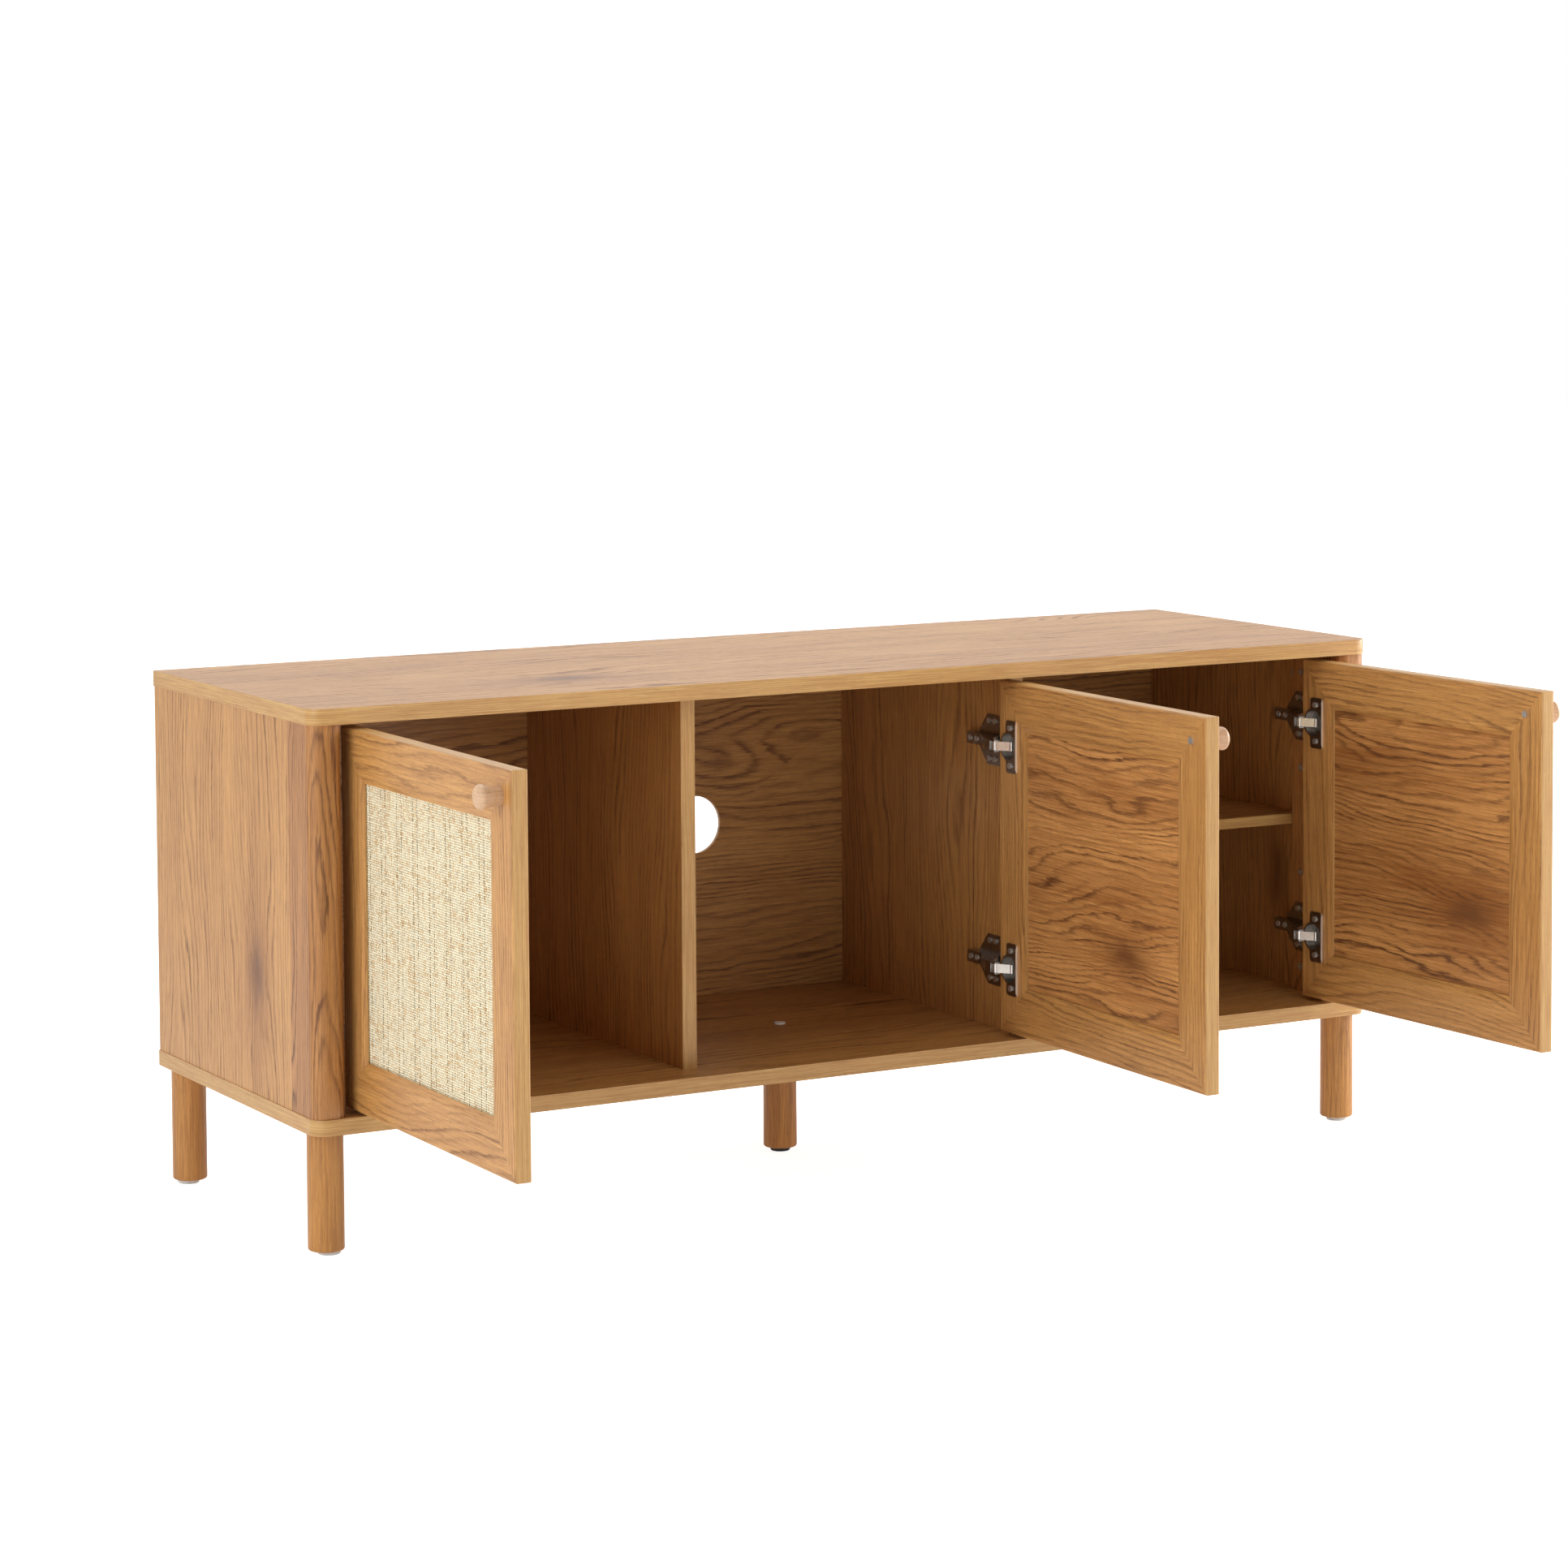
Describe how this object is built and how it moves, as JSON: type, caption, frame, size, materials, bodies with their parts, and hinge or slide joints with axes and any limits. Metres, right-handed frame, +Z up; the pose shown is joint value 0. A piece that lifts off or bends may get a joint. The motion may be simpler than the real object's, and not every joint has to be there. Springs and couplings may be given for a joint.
{
  "type": "media cabinet",
  "caption": "Low wide media cabinet on round legs, with dividers, a shelf, a cable hole and woven-front frame doors on concealed hinges.",
  "frame": {"origin": "on the floor under the middle of the carcass, at the centre leg's foot", "axes": "+X along the width to the right, +Y to the back (the doors face -Y), +Z up"},
  "size_m": [1.4, 0.8605, 0.598],
  "materials": {
    "oak_board": "oak-grain foil, satin",
    "oak_thin_board": "oak-grain foil, satin",
    "oak_solid": "oak-grain foil with straight grain, satin",
    "leg_wood": "stained solid wood, satin",
    "knob_beech": "turned pale wood, satin",
    "rattan": "open woven cane",
    "pale_nylon": "moulded nylon, matt",
    "black_nylon": "moulded nylon, matt",
    "white_plastic": "moulded cap",
    "dowel_beech": "fluted dowel",
    "hinge_nickel": "nickel plate, dark",
    "hinge_bright": "bright plate",
    "zinc_hardware": "zinc plate"
  },
  "bodies": {
    "carcass": {"back_panel": "oak_thin_board", "bottom_panel": "oak_board", "cam_bolts": "zinc_hardware", "cam_locks": "zinc_hardware", "centre_bolt_cap": "white_plastic", "corner_post_left": "oak_solid", "corner_post_right": "oak_solid", "deck_screws": "zinc_hardware", "divider_left": "oak_board", "divider_right": "oak_board", "hinge_arm_screws": "zinc_hardware", "hinge_arms": "hinge_nickel", "hinge_link_pins": "zinc_hardware", "hinge_plate_screws": "zinc_hardware", "hinge_plates": "hinge_nickel", "leg_bolts": "zinc_hardware", "leg_centre": "leg_wood", "leg_front_left": "leg_wood", "leg_front_right": "leg_wood", "leg_glides": "pale_nylon", "leg_inserts": "zinc_hardware", "leg_rear_left": "leg_wood", "leg_rear_right": "leg_wood", "panel_dowels": "dowel_beech", "post_screws": "zinc_hardware", "shelf": "oak_board", "shelf_pins": "zinc_hardware", "side_panel_left": "oak_board", "side_panel_right": "oak_board", "top_panel": "oak_board"},
    "door_left": {"door_left_backing_panel": "oak_thin_board", "door_left_cup_screws": "zinc_hardware", "door_left_hinge_cups": "hinge_nickel", "door_left_knob": "knob_beech", "door_left_knob_screw": "zinc_hardware", "door_left_rails": "oak_solid", "door_left_rattan_panel": "rattan", "door_left_stiles": "oak_solid"},
    "links_left": {"door_left_hinge_links": "hinge_bright"},
    "door_middle": {"door_middle_backing_panel": "oak_thin_board", "door_middle_cup_screws": "zinc_hardware", "door_middle_hinge_cups": "hinge_nickel", "door_middle_knob": "knob_beech", "door_middle_knob_screw": "zinc_hardware", "door_middle_rails": "oak_solid", "door_middle_rattan_panel": "rattan", "door_middle_stiles": "oak_solid"},
    "links_middle": {"door_middle_hinge_links": "hinge_bright"},
    "door_right": {"door_right_backing_panel": "oak_thin_board", "door_right_cup_screws": "zinc_hardware", "door_right_hinge_cups": "hinge_nickel", "door_right_knob": "knob_beech", "door_right_knob_screw": "zinc_hardware", "door_right_rails": "oak_solid", "door_right_rattan_panel": "rattan", "door_right_stiles": "oak_solid"},
    "links_right": {"door_right_hinge_links": "hinge_bright"},
    "leveller": {"centre_leveller": "black_nylon"}
  },
  "joints": [
    {"name": "door_left_swing", "type": "hinge", "parent": "carcass", "child": "door_left", "pos_m": [-0.634, -0.2155, 0.3657], "axis": [0, 0, -1], "range_deg": [-90.5, 9.5]},
    {"name": "links_left_swing", "type": "hinge", "parent": "carcass", "child": "links_left", "pos_m": [-0.6205, -0.199, 0.3657], "axis": [0, 0, -1], "range_deg": [-10.91, 1.19]},
    {"name": "door_middle_swing", "type": "hinge", "parent": "carcass", "child": "door_middle", "pos_m": [0.19467, -0.2155, 0.3657], "axis": [0, 0, 1], "range_deg": [-89, 11]},
    {"name": "links_middle_swing", "type": "hinge", "parent": "carcass", "child": "links_middle", "pos_m": [0.18117, -0.199, 0.3657], "axis": [0, 0, 1], "range_deg": [-10.73, 1.37]},
    {"name": "door_right_swing", "type": "hinge", "parent": "carcass", "child": "door_right", "pos_m": [0.634, -0.2155, 0.3657], "axis": [0, 0, 1], "range_deg": [-92.5, 7.5]},
    {"name": "links_right_swing", "type": "hinge", "parent": "carcass", "child": "links_right", "pos_m": [0.6205, -0.199, 0.3657], "axis": [0, 0, 1], "range_deg": [-11.15, 0.95]},
    {"name": "leveller_screw", "type": "slide", "parent": "carcass", "child": "leveller", "axis": [0, 0, -1], "range_m": [0, 0.01]}
  ],
  "couplings": [
    {"joint": "links_left_swing", "follows": "door_left_swing", "ratio": 0.12},
    {"joint": "links_middle_swing", "follows": "door_middle_swing", "ratio": 0.12},
    {"joint": "links_right_swing", "follows": "door_right_swing", "ratio": 0.12}
  ]
}
